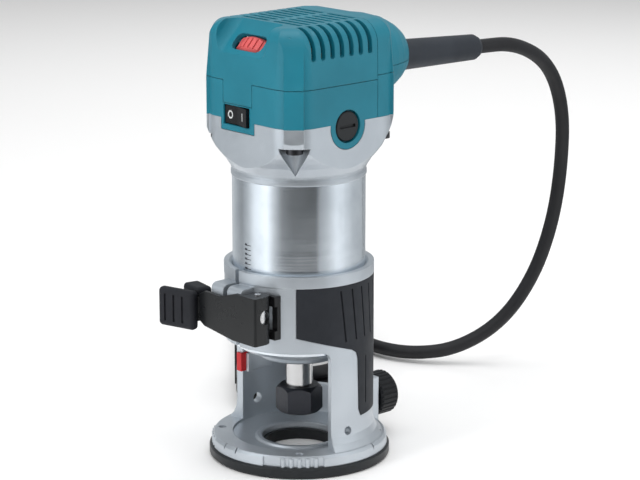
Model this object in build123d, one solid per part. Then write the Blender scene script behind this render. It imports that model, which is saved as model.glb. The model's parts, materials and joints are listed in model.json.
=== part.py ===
from build123d import *
import os
from math import atan2, cos, degrees, pi, radians, sin, tan

# Trim router: a round motor unit held in a clamping base.
# Origin: centre of the sub-base bore, on the surface it stands on.
# +Z up, -Y the side with switch, speed dial and lock lever, +Y the cord side.

# ---------------------------------------------------------------- driving dimensions, mm
TUBE_R = 32.5               # motor tube, the usual 65 mm motor diameter
SLIDE_GAP = 0.1             # radial clearance of the tube in the collar
RUN_GAP = 0.06              # radial clearance of a turning shaft
SUB_R = 44.7                # sub-base disc
SUB_H = 5.5
SUB_BORE_R = 17.0           # takes a template guide
RING_R = 43.6               # cast base ring
RING_TOP = 11.0
WALL_R = 36.5               # pillars and collar
WALL_IN_R = 33.0
RIM_R = 36.8
WINDOW_HALF = 73.0          # half angle of the front window, degrees
WINDOW_TOP = 60.5
COLLAR_TOP = 98.5
RIM_Z = 93.0
SKIN_R = 35.3               # bottom of the grip pockets
GRIP_R = 36.75
SIDE_HOLE_R = 2.1           # M5 tapping size, right pillar
SIDE_HOLE_LEFT_R = 2.65     # M5 clearance size, left pillar, on the same line
SIDE_HOLE_AZ = -1.9
SIDE_HOLE_Z = 19.4
SLIT_X = -4.0               # middle of the clamp slit
SLIT_W = 3.0

# Heights of the motor unit are from its own datum, which the base holds this far up.
MOTOR_SET = 4.5
NOSE_Z = 46.0               # lowest face of the motor nose
TUBE_Z0 = 53.0
TUBE_Z1 = 137.4
TUBE_IN_R = 30.4
NECK_TOP = 142.0
TEAL_Z = 167.0              # casting below, plastic head above
PART_Z = 185.5              # joint between head housing and top cover
HEAD_TOP = 213.4
HEAD_X = 34.8               # half width
HEAD_FRONT = 34.8           # front face, from the axis
HEAD_BACK = 37.1
HEAD_CORNER = 14.0
SHOULDER_R = 11.0           # rounding along the top edges
CASE_SCREW_X = 27.4
CASE_SCREW_FRONT = -27.2
CASE_SCREW_BACK = 29.2
SHELL = 2.6                 # plastic wall
SEAM_Y = 19.5               # rear covers start here
SEAM_GAP = 0.25             # visible joint line between covers
BOSS_Z = 187.5              # cord axis and joint between the rear covers
BOSS_RISE = 2.2             # how far the cord boss is centred above the cord
BRUSH_Z = 165.3
BRUSH_BOSS_R = 10.9
BRUSH_SEAT_X = 32.4         # bottom of the recess that takes the brush cap
SWITCH_X = -5.5
SWITCH_Z = 169.0
SWITCH_W = 18.8
SWITCH_H = 9.6
SWITCH_PIVOT_Y = -31.8
FACET_Y = -29.5             # middle of the slanted dial facet
FACET_Z = 204.0
FACET_TILT = 46.8           # slope of the facet, degrees from level
DIAL_X = -1.9
DIAL_R = 15.0
DIAL_W = 8.6
DIAL_CREST = 0.8            # how far the dial stands out of the facet
DIAL_GROOVES = 30

SPINDLE_R = 6.75
SHAFT_R = 5.0
SHAFT_TOP = 182.0
NUT_Z0 = 16.7
NUT_Z1 = 30.2
NUT_FLATS = 20.0
COLLET_R = 3.175            # 6.35 mm cutter shank

PIN_X = 15.0                # lock lever pivot
PIN_Y = -40.0
PIN_R = 1.5
BOLT_Z = 80.5
BOLT_R = 2.5
LEVER_Z0 = 67.0
LEVER_Z1 = 90.5
LEVER_FACE = 46.5           # distance of the lever's front face from the axis

KNOB_R = 11.1
KNOB_Z = 18.5
KNOB_Y0 = 47.1
KNOB_Y1 = 58.8
STEM_R = 3.0
BOSS_FACE_Y = 46.0          # outer face of the guide bracket

CORD_R = 3.75
GUARD_Y0 = 59.5
GUARD_Y1 = 122.5
GUARD_DROP = 2.2            # degrees below level
VIEW_AZ = 138.0             # direction of the hank from the axis, degrees
HANK_START = 52.0
HANK_RUN = 132.0            # straight part of the folded cord
HANK_FOLD = 30.0            # largest fold radius
HANK_Z0 = 1.2
HANK_LAYERS = 3

# Corners of the free cord's route, centre line, chosen by hand.
CORD_ROUTE = [
    (0.0, 123.7, 189.5),
    (0.0, 152.0, 188.4),
    (-3.0, 182.0, 174.0),
    (-8.0, 200.0, 146.0),
    (-13.0, 205.0, 111.0),
    (-17.0, 203.0, 79.0),
    (-23.0, 195.0, 49.0),
    (-33.0, 181.0, 24.0),
    (-49.0, 163.0, 9.0),
    (-66.5, 147.5, 5.2),
    (-88.0, 140.0, 5.0),
    (-110.6, 143.8, 5.0),
    (-129.7, 156.8, 5.0),
]

UP = (Align.CENTER, Align.CENTER, Align.MIN)
WEDGE = (Align.NONE, Align.NONE, Align.MIN)


# ---------------------------------------------------------------- helpers
def disc(radius, z0, z1, x=0.0, y=0.0):
    return Pos(x, y, z0) * Cylinder(radius, z1 - z0, align=UP)


def ring(r_out, r_in, z0, z1):
    return disc(r_out, z0, z1) - disc(r_in, z0 - 1, z1 + 1)


def block(x0, x1, y0, y1, z0, z1):
    centre = Pos((x0 + x1) / 2, (y0 + y1) / 2, (z0 + z1) / 2)
    return centre * Box(x1 - x0, y1 - y0, z1 - z0)


def wedge(radius, start, end, z0, z1):
    """Pie slice about Z from start to end, in degrees."""
    slice_ = Cylinder(radius, z1 - z0, arc_size=end - start, align=WEDGE)
    return Pos(0, 0, z0) * Rot(0, 0, start) * slice_


def turned(points):
    """Solid of revolution about Z from an outline of (radius, height)."""
    outline = make_face(Polyline(*points, close=True))
    return revolve(Plane.XZ * outline, Axis.Z)


def rod_x(radius, x0, x1, y, z):
    return Pos(x0, y, z) * Rot(0, 90, 0) * Cylinder(radius, x1 - x0, align=UP)


def rod_y(radius, y0, y1, x, z):
    return Pos(x, y0, z) * Rot(-90, 0, 0) * Cylinder(radius, y1 - y0, align=UP)


def turned_y(points, x, z):
    """Solid of revolution about a line along +Y, from (radius, y) points."""
    return Pos(x, 0, z) * Rot(-90, 0, 0) * turned(points)


def mirrored(shape):
    return shape.mirror(Plane.YZ)


def polar(radius, angle, z=0.0):
    return (radius * cos(radians(angle)), radius * sin(radians(angle)), z)




# ---------------------------------------------------------------- base
SCREW_AZ = [-42, -138, 42, 138]
SCREW_CIRCLE = 38.5
SCREW_R = 2.0
SCREW_HEAD_R = 3.8


def sub_base():
    body = turned([(SUB_BORE_R, 0), (SUB_R - 1.0, 0), (SUB_R, 1.0), (SUB_R, SUB_H - 0.8),
                   (SUB_R - 0.8, SUB_H), (SUB_BORE_R, SUB_H)])
    for az in SCREW_AZ:
        x, y, _ = polar(SCREW_CIRCLE, az)
        body -= disc(SCREW_R, -1, SUB_H + 1, x, y)
        body -= disc(SCREW_HEAD_R, -1, 2.6, x, y)
    return body


def sub_base_screws():
    screws = []
    for az in SCREW_AZ:
        x, y, _ = polar(SCREW_CIRCLE, az)
        screw = disc(SCREW_HEAD_R, 0.4, 2.6, x, y) + disc(SCREW_R, 2.6, 9.8, x, y)
        screw -= block(x - 2.6, x + 2.6, y - 0.4, y + 0.4, 0, 1.2)
        screw -= block(x - 0.4, x + 0.4, y - 2.6, y + 2.6, 0, 1.2)
        screws.append(screw)
    return Compound(children=screws)


def ring_flutes(shape, middle):
    """Shallow recess in the ring's side with five raised ribs in it."""
    recess = wedge(60, middle - 24, middle + 16, SUB_H, RING_TOP + 1)
    shape -= recess - disc(RING_R - 1.0, 0, 30)
    rib_step = 5.4
    for i in range(5):
        az = middle - 10.8 + rib_step * i
        x, y, _ = polar(RING_R - 1.3, az)
        shape += disc(1.25, SUB_H, RING_TOP - 1.0, x, y)
    return shape


def collar_and_pillars():
    flare = Polyline((WALL_R, COLLAR_TOP), (WALL_R, 21), (WALL_R + 0.6, 17.0), (WALL_R + 2.0, 13.8),
                     (WALL_R + 4.6, RING_TOP), (WALL_R + 4.6, 8), (WALL_IN_R, 8),
                     (WALL_IN_R, COLLAR_TOP), (WALL_R, COLLAR_TOP))
    wall = revolve(Plane.XZ * make_face(flare), Axis.Z)
    wall -= wedge(60, -90 - WINDOW_HALF, -90 + WINDOW_HALF, RING_TOP, WINDOW_TOP)
    wall -= wedge(60, 52, 128, 24.5, 50.5)
    wall += ring(WALL_R, TUBE_R + SLIDE_GAP, WINDOW_TOP, COLLAR_TOP)
    wall += ring(RIM_R, TUBE_R + SLIDE_GAP, RIM_Z, COLLAR_TOP)
    corners = wall.edges().filter_by_position(Axis.Z, WINDOW_TOP - 0.1, WINDOW_TOP + 0.1)
    arch = corners.filter_by(GeomType.LINE).filter_by(lambda e: e.center().Y < 0)
    return fillet(arch, 5.0)


def clamp_ears():
    low, high = BOLT_Z - 10.0, BOLT_Z + 11.5
    left = block(SLIT_X - 10, SLIT_X - SLIT_W / 2, -44.2, -33.5, low, high)
    right = block(SLIT_X + SLIT_W / 2, 7.2, -44.2, -33.5, low, high)
    ears = []
    for ear in (left, right):
        front = ear.edges().filter_by(Axis.X).group_by(Axis.Y)[0]
        ears.append(fillet(front, 3.0))
    return ears[0] + ears[1]


def base_casting():
    bowl = turned([(18.5, SUB_H), (RING_R, SUB_H), (RING_R - 0.3, 9.6), (RING_R - 1.4, RING_TOP),
                   (35.0, RING_TOP), (33.0, 9.9), (22.0, 7.9), (21.2, 9.0), (19.2, 9.0), (18.5, 8.4)])
    bowl = ring_flutes(bowl, -42)
    bowl = ring_flutes(bowl, -132)
    body = bowl + collar_and_pillars() + clamp_ears()
    body += block(-9, 9, WALL_IN_R, BOSS_FACE_Y, 7, 30.5)
    body -= disc(TUBE_R + SLIDE_GAP, WINDOW_TOP, COLLAR_TOP + 1)
    body -= disc(WALL_IN_R, 12, WINDOW_TOP)
    body += wedge(WALL_IN_R + 1, 165, 194, 35.5, 45) - disc(30.6, 35, 46)
    lead_in = turned([(TUBE_R, COLLAR_TOP - 1.6), (TUBE_R + 2.2, COLLAR_TOP + 0.6),
                      (TUBE_R, COLLAR_TOP + 0.6)])
    body -= lead_in
    body -= block(SLIT_X - SLIT_W / 2, SLIT_X + SLIT_W / 2, -60, -20, 50, 110)
    side_line = Rot(0, 0, SIDE_HOLE_AZ)
    body -= side_line * rod_x(SIDE_HOLE_R, 30, 46, 0, SIDE_HOLE_Z)
    body -= side_line * rod_x(SIDE_HOLE_LEFT_R, -46, -30, 0, SIDE_HOLE_Z)
    for side in (-1, 1):
        body -= grip_pocket(side)
    body -= rod_x(BOLT_R + 0.2, -20, 10, PIN_Y, BOLT_Z)
    body -= rod_y(STEM_R + RUN_GAP, 28, 50, 0, KNOB_Z)
    for az in SCREW_AZ:
        x, y, _ = polar(SCREW_CIRCLE, az)
        body -= disc(SCREW_R, 4, 12, x, y)
    for az in (-100, -88, 15, 60, 120, 165):
        notch = Rot(0, 0, az) * block(41.2, 46, -0.4, 0.4, RING_TOP - 2.4, RING_TOP + 1)
        body -= notch
    body -= pointer_block()
    return body


def grip_outline():
    """Side view of a rubber grip in (y, z)."""
    return Polyline((-25.4, RIM_Z), (-25.4, 68.5), (1.5, 60), (4.6, 57.9), (5.7, 54.5), (6.6, 28.5),
                    (8.2, 25), (26.5, 25), (26.5, 53), (34, 56.5), (34, RIM_Z), close=True)


def grip_pocket(side):
    slab = extrude(Plane.YZ * make_face(grip_outline()), 60)
    pocket = slab & ring(60, SKIN_R, 10, COLLAR_TOP)
    return pocket if side > 0 else mirrored(pocket)


def grip(side):
    """Rubber grip wrapped on the collar and down the pillar, with slanted grooves."""
    slab = extrude(Plane.YZ * make_face(grip_outline()), 60)
    body = slab & ring(GRIP_R, SKIN_R, 10, COLLAR_TOP)
    for i in range(6):
        groove = Pos(GRIP_R, 0, 77.5) * Rot(7, 0, 0) * Box(1.5, 1.0, 26)
        body -= Rot(0, 0, -6.5 + 11 * i) * groove
    body -= Rot(0, 0, 20) * Pos(GRIP_R, 0, 42.5) * Box(1.2, 0.9, 24)
    return body if side > 0 else mirrored(body)


def pointer_block():
    """Red block on the edge of the left pillar, just proud of the window's side."""
    return block(-34.6, -31.2, -11.0, -6.5, 36.0, 45.5)


def thrust_plate():
    """Wear plate on the ear, where the lever pulls the bolt against it."""
    plate = block(7.2, 9.2, -44.0, -34.0, BOLT_Z - 9.5, BOLT_Z + 9.0) - disc(WALL_R + 0.05, 40, 110)
    return plate - rod_x(BOLT_R + 0.2, 0, 14, PIN_Y, BOLT_Z)


def lever_stop():
    """Black block on the collar behind the closed lever."""
    body = block(12.0, 20.5, -34.1, -29, BOLT_Z - 12.5, BOLT_Z + 9.0)
    body -= block(14.5, 22, -36, -32.4, BOLT_Z - 8.0, BOLT_Z + 4.0)
    return body - disc(WALL_R + 0.05, 40, 110)


def lever_pin():
    return disc(PIN_R, LEVER_Z0 - 0.6, LEVER_Z1 + 0.6, PIN_X, PIN_Y)


def eye_bolt():
    body = disc(4.0, BOLT_Z - 5, BOLT_Z + 5, PIN_X, PIN_Y)
    body += rod_x(BOLT_R, -19.5, PIN_X - 2, PIN_Y, BOLT_Z)
    return body - disc(PIN_R, 60, 110, PIN_X, PIN_Y)


def clamp_nut():
    hexagon = Plane.YZ * RegularPolygon(4.4, 6)
    nut = Pos(-18.4, PIN_Y, BOLT_Z) * extrude(hexagon, 4.2)
    washer = rod_x(4.3, -14.2, SLIT_X - 10, PIN_Y, BOLT_Z)
    return nut + washer - rod_x(BOLT_R, -30, 0, PIN_Y, BOLT_Z)


def lever_end(radius, front, z0, z1):
    """Rounded at the back about the pivot, square at the front."""
    half = block(PIN_X - radius, PIN_X + radius, PIN_Y - front, PIN_Y, z0, z1)
    return half + disc(radius, z0, z1, PIN_X, PIN_Y)


def lever_core():
    """Block at the lever's tip that the rubber pads are moulded round."""
    return block(-30, -21, -48, -38, BOLT_Z - 9.0, BOLT_Z + 3.0)


def lock_lever():
    front = LEVER_FACE + PIN_Y
    outer = 5.5
    skin = 1.3
    top = LEVER_Z1 - 2.4
    bottom = LEVER_Z0 + 2.4
    end = lever_end(outer, front, LEVER_Z0, LEVER_Z1)
    vertical = end.edges().filter_by(Axis.Z).sort_by(Axis.Y)[0:2]
    end = fillet(vertical.sort_by(Axis.X)[-1], 1.2)
    end -= lever_end(outer - skin, front - 1.8, bottom, top)
    opening = wedge(20, 50, 229, bottom, top)
    end -= Pos(PIN_X, PIN_Y, 0) * opening
    end -= rod_x(3.6, PIN_X + 3, PIN_X + 9, PIN_Y + 0.4, BOLT_Z)
    outline = Polyline((PIN_X - 4, LEVER_Z0), (PIN_X - 4, LEVER_Z1), (6, LEVER_Z1), (-5, 87.1),
                       (-17, 87.3), (-22.5, 84), (-22.5, 73), (-17, 69.9), (4, LEVER_Z0),
                       close=True)
    plate = Pos(0, -LEVER_FACE + 1.8, 0) * extrude(Plane.XZ * make_face(outline), 1.8)
    core = lever_core() - block(-24.5, -17, -45.6, -30, 60, 100)
    body = end + plate + core
    return body - disc(PIN_R + RUN_GAP, 50, 110, PIN_X, PIN_Y)


def lever_grip():
    """Rubber pads at the lever's tip: one in front, one behind."""
    length, thick, height = 21.5, 5.2, 19.5
    pad = Box(length, thick, height)
    pad = fillet(pad.edges(), 2.2)
    for i in (-1, 0, 1):
        pad -= Pos(5.2 * i - 1.0, -thick / 2, 0) * Box(1.1, 1.5, height - 6)
    pad = Pos(-31.2, -51.0, BOLT_Z - 3.6) * Rot(0, 0, 14) * pad
    hook = Box(15, 9, 12)
    hook = fillet(hook.edges(), 2.0)
    hook = Pos(-31.5, -38.5, BOLT_Z) * Rot(0, 0, -12) * hook
    body = pad + hook + block(-34, -29, -50, -40, BOLT_Z - 7.0, BOLT_Z + 1.0)
    return body - lever_core()


def thumb_screw():
    knob = rod_y(KNOB_R, KNOB_Y0, KNOB_Y1, 0, KNOB_Z)
    knob = chamfer(knob.edges().filter_by(GeomType.CIRCLE), 1.0)
    flutes = 28
    for i in range(flutes):
        az = 2 * pi * i / flutes
        x = KNOB_R * cos(az)
        z = KNOB_Z + KNOB_R * sin(az)
        knob -= rod_y(0.62, KNOB_Y0 - 1, KNOB_Y1 + 1, x, z)
    knob -= rod_y(7.0, KNOB_Y1 - 1.4, KNOB_Y1 + 1, 0, KNOB_Z)
    return knob + rod_y(STEM_R, 30.5, KNOB_Y0 + 1, 0, KNOB_Z)


def thumb_washer():
    washer = rod_y(6.5, BOSS_FACE_Y + 0.1, KNOB_Y0 - 0.1, 0, KNOB_Z)
    return washer - rod_y(STEM_R + RUN_GAP, 30, 60, 0, KNOB_Z)


# ---------------------------------------------------------------- motor unit
def motor_tube():
    body = ring(TUBE_R, TUBE_IN_R, TUBE_Z0, TUBE_Z1)
    bottom = body.edges().filter_by(GeomType.CIRCLE).group_by(Axis.Z)[0].sort_by(SortBy.RADIUS)[-1]
    return chamfer(bottom, 0.6)


def nose_cap():
    return turned([(7.4, NOSE_Z), (19.5, NOSE_Z), (20.5, NOSE_Z + 0.8), (21.5, 48.6), (29.5, 51.4),
                   (31.4, TUBE_Z0), (TUBE_IN_R - 0.05, TUBE_Z0), (TUBE_IN_R - 0.05, 60), (14.0, 60),
                   (14.0, 48.4), (7.4, 48.4)])


def bearing(r_out, r_in, z0, z1):
    body = ring(r_out, r_in, z0, z1)
    shield = ring(r_out - 1.8, r_in + 1.8, z1 - 0.5, z1 + 1)
    return body - shield


def flare(offset):
    """Turned form that rounds the casting's corners into the neck."""
    profile = [(33.0, 142.0), (34.0, 143.6), (35.8, 146.4), (38.3, 149.3), (40.6, 152.3),
               (42.2, 155.4), (43.6, 158.5), (44.9, 162.0), (46.0, TEAL_Z), (47.0, 172.0)]
    wall = [(r - offset, z) for r, z in profile]
    return turned([(0, 142.0)] + wall + [(0, 172.0)])


HEAD_MID = (HEAD_BACK - HEAD_FRONT) / 2
HEAD_HALF_Y = (HEAD_BACK + HEAD_FRONT) / 2
CORNER_FLAT = 9.6          # width of the flat strip down each corner
CORNER_PAD = 0.7            # how far that strip stands out of the corner's arc
CORNER_REACH = HEAD_CORNER + CORNER_PAD


def head_outline(inset):
    plan = RectangleRounded(2 * (HEAD_X - inset), 2 * (HEAD_HALF_Y - inset), HEAD_CORNER - inset)
    if inset == 0:
        for sx in (-1, 1):
            for sy in (-1, 1):
                angle = degrees(atan2(sy, sx))
                pad = Pos(CORNER_REACH / 2, 0) * Rectangle(CORNER_REACH, CORNER_FLAT)
                centre = Pos(sx * (HEAD_X - HEAD_CORNER), sy * (HEAD_HALF_Y - HEAD_CORNER))
                plan += centre * Rot(0, 0, angle) * pad
    return Pos(0, HEAD_MID) * plan


def rounded_slab(half, radius, inset, lean):
    """Upright section through the head: sides that lean in, and a rounded top."""
    low = 100
    half = half - inset
    top = HEAD_TOP - inset
    outline = Polyline((-half, low), (half, low), (half, PART_Z), (half - lean, top),
                       (lean - half, top), (-half, PART_Z), close=True)
    face = make_face(outline)
    corners = face.vertices().group_by(Axis.Y)[-1]
    face = fillet(corners, radius - inset)
    return extrude(Plane.XZ * face, 80, both=True)


def head_form(inset, z0):
    """Head volume above z0, with rounded shoulders, inset from the outer skin."""
    form = Pos(0, 0, z0) * extrude(head_outline(inset), HEAD_TOP - inset - z0)
    diagonal = (HEAD_X + HEAD_HALF_Y - 2 * HEAD_CORNER) * cos(radians(45)) + CORNER_REACH
    form &= rounded_slab(HEAD_X, SHOULDER_R, inset, 0.6)
    along = rounded_slab(HEAD_HALF_Y, 7.0, inset, 0.4)
    form &= Pos(0, HEAD_MID, 0) * Rot(0, 0, 90) * along
    if inset == 0:
        corner = rounded_slab(diagonal, 9.0, inset, 2.4)
        for turn in (45, 135):
            form &= Pos(0, HEAD_MID, 0) * Rot(0, 0, turn) * corner
    return form


def dial_slope(shape):
    return Pos(DIAL_X, FACET_Y, FACET_Z) * Rot(FACET_TILT, 0, 0) * shape


def facet(depth):
    """Space above the slanted dial facet, grown by depth below and beside it."""
    scoop = Box(36 + 2 * depth, 40, 16, align=UP)
    scoop = fillet(scoop.edges().filter_by(Axis.Y).group_by(Axis.Z)[0], 5.0)
    return dial_slope(Pos(0, 0, -depth) * scoop)


SCOOP_TOP = 157.6
APRON = (-16.6, 7.2)        # plastic apron round the switch, reaching below the teal line
APRON_Z0 = 161.5
TONGUE = (-15.0, 5.6)       # tongue of the top cover above the switch


def case_screw_places():
    return [(side * CASE_SCREW_X, y) for side in (-1, 1) for y in (CASE_SCREW_FRONT, CASE_SCREW_BACK)]


def screw_scoop(azimuth):
    """Cone that opens upwards along the flare, below a corner screw."""
    lean = 31.0
    cone = Pos(33.3, 0, 143.2) * Rot(0, lean, 0) * Cone(0.3, 8.6, 19.0, align=UP)
    return Rot(0, 0, azimuth) * (cone & block(20, 70, -20, 20, 140, SCOOP_TOP))


def motor_casting():
    outer = Pos(0, 0, NECK_TOP) * extrude(head_outline(0), TEAL_Z - NECK_TOP) & flare(0)
    inner = Pos(0, 0, NECK_TOP - 1) * extrude(head_outline(3.2), 30) & flare(3.6)
    neck = turned([(TUBE_IN_R, TUBE_Z1), (32.6, TUBE_Z1), (33.0, TUBE_Z1 + 0.5), (33.0, 139.6),
                   (32.5, 140.2), (32.5, 141.0), (33.0, 141.6), (33.0, 142.4), (TUBE_IN_R, 142.4)])
    body = outer - inner + neck
    body -= disc(TUBE_IN_R, TUBE_Z1 - 1, 150)
    for x, y in case_screw_places():
        body += disc(9.5, NECK_TOP, TEAL_Z, x, y) & outer
        body -= screw_scoop(degrees(atan2(y, x)))
        body -= disc(4.2, SCOOP_TOP - 3.2, SCOOP_TOP, x, y)
        body -= disc(2.3, 150, 170, x, y)
    for side in (-1, 1):
        x0, x1 = (20, 50) if side > 0 else (-50, -20)
        body -= rod_x(BRUSH_BOSS_R + SEAM_GAP, x0, x1, 0, BRUSH_Z)
    body -= block(APRON[0] - SEAM_GAP, APRON[1] + SEAM_GAP, -50, -28.8, APRON_Z0 - SEAM_GAP, 170)
    return body


def head_shell(z0, z1, y0, y1):
    body = head_form(0, z0) - head_form(SHELL, z0 - 1)
    return body & block(-60, 60, y0, y1, z0, z1)


def head_housing():
    body = head_shell(TEAL_Z, PART_Z - SEAM_GAP, -60, SEAM_Y - SEAM_GAP)
    bridge = head_form(SHELL - 0.2, 170) & block(-60, 60, -29.5, SEAM_Y - 0.5, 176, 180)
    bridge += disc(12.5, 174, 181.8)
    body += bridge - disc(9.5, 170, 190)
    for side in (-1, 1):
        x0, x1 = (27.3, HEAD_X) if side > 0 else (-HEAD_X, -27.3)
        body += rod_x(BRUSH_BOSS_R, x0, x1, 0, BRUSH_Z)
    body += block(APRON[0], APRON[1], -HEAD_FRONT, -29.3, APRON_Z0, 174)
    for x, y in case_screw_places():
        if y < 0:
            body += disc(4.4, TEAL_Z, 184, x, y) & extrude(head_outline(0.2), 200)
        body -= disc(2.0, 160, 178, x, y)
    for side in (-1, 1):
        x0, x1 = (20, 50) if side > 0 else (-50, -20)
        body -= rod_x(5.1, x0, x1, 0, BRUSH_Z)
        rim0, rim1 = (BRUSH_SEAT_X, 50) if side > 0 else (-50, -BRUSH_SEAT_X)
        body -= rod_x(8.0, rim0, rim1, 0, BRUSH_Z)
    half_w, half_h = SWITCH_W / 2, SWITCH_H / 2
    body -= block(SWITCH_X - half_w, SWITCH_X + half_w, -50, -20, SWITCH_Z - half_h, SWITCH_Z + half_h)
    body -= block(TONGUE[0] - SEAM_GAP, TONGUE[1] + SEAM_GAP, -40, 1.4 - HEAD_FRONT, 174.4, 200)
    return body


def vent_slots():
    """Cutters for the cooling slots on the top and on both shoulders."""
    cutters = []
    for i in range(8):
        y = -17.0 + 4.9 * i
        for x0, x1 in ((-21.0, -1.6), (1.6, 21.0)):
            slot = block(x0, x1, y - 1.2, y + 1.2, 205, 225)
            cutters.append(fillet(slot.edges().filter_by(Axis.Z), 1.1))
    for i in range(7):
        y = -21.6 + 6.02 * i
        for side in (-1, 1):
            slot = block(23.6, 45, y - 1.35, y + 1.35, 198.5, 225)
            slot = fillet(slot.edges().filter_by(Axis.X), 1.2)
            cutters.append(slot if side > 0 else mirrored(slot))
    return cutters


def top_cover():
    body = head_shell(PART_Z, HEAD_TOP, -60, SEAM_Y - SEAM_GAP)
    roof = facet(SHELL) & head_form(0, PART_Z)
    body = body + roof - facet(0)
    body += block(TONGUE[0], TONGUE[1], -HEAD_FRONT, 1.15 - HEAD_FRONT, 174.6, PART_Z + 1)
    window = Box(21.3, 9.3, 30)
    window = fillet(window.edges().filter_by(Axis.Z), 3.5)
    body -= dial_slope(window)
    for cutter in vent_slots():
        body -= cutter
    return body


BOSS_PROFILE = [(0, 30), (23.0, 30), (22.6, 36), (21.6, 42), (19.9, 48), (17.9, 53.5), (15.6, 58),
                (13.2, 61.4), (11.4, 63.0), (0, 63.0)]


def rear_covers():
    """Upper and lower rear cover, parted at the height of the cord."""
    body = head_form(0, TEAL_Z) - head_form(SHELL, TEAL_Z - 1)
    body = body & block(-60, 60, SEAM_Y, 60, TEAL_Z, HEAD_TOP)
    body += turned_y(BOSS_PROFILE, 0, BOSS_Z + BOSS_RISE)
    body += rod_y(10.0, 55, 64.5, 0, BOSS_Z)
    body -= turned_y([(0, 20), (17.0, 20), (17.0, 37), (8.2, 50), (8.2, 80), (0, 80)], 0, BOSS_Z)
    for x, y in case_screw_places():
        if y > 0:
            post = disc(4.4, TEAL_Z, 182, x, y) & extrude(head_outline(0.2), 200)
            body += post - disc(2.0, 160, 178, x, y)
    upper = body & block(-60, 60, 0, 90, BOSS_Z + SEAM_GAP / 2, 230)
    lower = body & block(-60, 60, 0, 90, TEAL_Z, BOSS_Z - SEAM_GAP / 2)
    return upper, lower


def cord_guard():
    drop = Pos(0, GUARD_Y0, BOSS_Z) * Rot(-90 - GUARD_DROP, 0, 0)
    length = GUARD_Y1 - GUARD_Y0
    sleeve = turned([(CORD_R + 0.05, -8), (7.3, -8), (7.3, 4), (7.8, 6.5), (6.6, length - 3),
                     (5.5, length - 0.6), (4.6, length), (CORD_R + 0.05, length)])
    return drop * sleeve


def casting_screws():
    screws = []
    low = SCOOP_TOP - 2.8
    for x, y in case_screw_places():
        screw = disc(4.0, low, SCOOP_TOP, x, y) + disc(2.0, SCOOP_TOP, 177, x, y)
        screw -= block(x - 2.4, x + 2.4, y - 0.4, y + 0.4, low - 1, low + 1.1)
        screw -= block(x - 0.4, x + 0.4, y - 2.4, y + 2.4, low - 1, low + 1.1)
        screws.append(screw)
    return Compound(children=screws)


def brush_cap(side):
    x0, x1 = BRUSH_SEAT_X + 0.1, HEAD_X - 0.2
    body = rod_x(7.2, x0, x1, 0, BRUSH_Z)
    body = chamfer(body.edges().filter_by(GeomType.CIRCLE).group_by(Axis.X)[-1], 0.5)
    body -= block(x1 - 1.0, x1 + 1, -5.0, 5.0, BRUSH_Z - 0.8, BRUSH_Z + 0.8)
    return body if side > 0 else mirrored(body)


def brush_holder(side):
    body = rod_x(5.0, 13.5, BRUSH_SEAT_X, 0, BRUSH_Z)
    body -= block(10, 40, -3.1, 3.1, BRUSH_Z - 2.1, BRUSH_Z + 2.1)
    return body if side > 0 else mirrored(body)


def carbon_brush(side):
    body = block(11.3, 25, -3.0, 3.0, BRUSH_Z - 2.0, BRUSH_Z + 2.0)
    return body if side > 0 else mirrored(body)


def brush_spring(side):
    body = rod_x(1.9, 25.1, BRUSH_SEAT_X, 0, BRUSH_Z) - rod_x(1.2, 20, 40, 0, BRUSH_Z)
    return body if side > 0 else mirrored(body)


def stator_core():
    body = ring(TUBE_IN_R, 16.2, 72, 118)
    for side in (-1, 1):
        x0, x1 = (17, 27) if side > 0 else (-27, -17)
        body -= block(x0, x1, -13, -9, 70, 120) + block(x0, x1, 9, 13, 70, 120)
    return body


def field_coils():
    coils = ring(27.0, 18.0, 118, 127) + ring(27.0, 18.0, 66, 72)
    for side in (-1, 1):
        x0, x1 = (18.5, 26.0) if side > 0 else (-26.0, -18.5)
        coils += block(x0, x1, -12.6, -9.4, 70, 120) + block(x0, x1, 9.4, 12.6, 70, 120)
    return coils


def switch_body():
    front = SWITCH_PIVOT_Y + 2.8
    return block(SWITCH_X - 9.0, SWITCH_X + 9.0, front, -19.5, SWITCH_Z - 4.4, SWITCH_Z + 4.4)


def speed_controller():
    board = block(-22, 22, -2, 19, 186, 187.6)
    return board + block(-18, -2, 2, 15, 187.6, 199) + block(3, 18, 3, 16, 187.6, 195)


def dial_holder():
    """Potentiometer behind the dial, on the dial's axis."""
    pot = Pos(0, 6.5, DIAL_CREST - DIAL_R) * Rot(-90, 0, 0) * Cylinder(6.0, 4.0)
    return dial_slope(pot)


# ---------------------------------------------------------------- turning parts
def spindle():
    body = disc(SPINDLE_R, 26, 58.2) + disc(SHAFT_R, 58.2, SHAFT_TOP)
    body -= disc(5.1, 20, 46)
    return body - disc(5.4, 20, 28)


def armature_core():
    body = ring(15.6, SHAFT_R, 72, 118)
    for i in range(12):
        body -= Rot(0, 0, 30 * i) * block(14.2, 17, -0.8, 0.8, 70, 120)
    return body


def armature_windings():
    return ring(13.6, SHAFT_R, 118, 127) + ring(13.6, SHAFT_R, 67, 72)


def commutator():
    body = ring(11.0, SHAFT_R, 156, 173)
    for i in range(24):
        body -= Rot(0, 0, 15 * i) * block(10.3, 12, -0.2, 0.2, 157, 174)
    return body


def fan():
    body = ring(9.0, SHAFT_R, 131, 143) + ring(27.0, 8.5, 131, 132.4)
    for i in range(15):
        blade = block(8.5, 26.6, -0.7, 0.7, 132, 142)
        body += Rot(0, 0, 24 * i) * blade
    return body


def collet():
    body = turned([(COLLET_R, 20.0), (4.45, 20.0), (6.3, 22.3), (6.3, 23.4), (5.0, 24.6),
                   (5.0, 42), (COLLET_R, 42)])
    for i in range(4):
        body -= Rot(0, 0, 45 + 90 * i) * block(1, 8, -0.4, 0.4, 18, 37)
    return body


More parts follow.
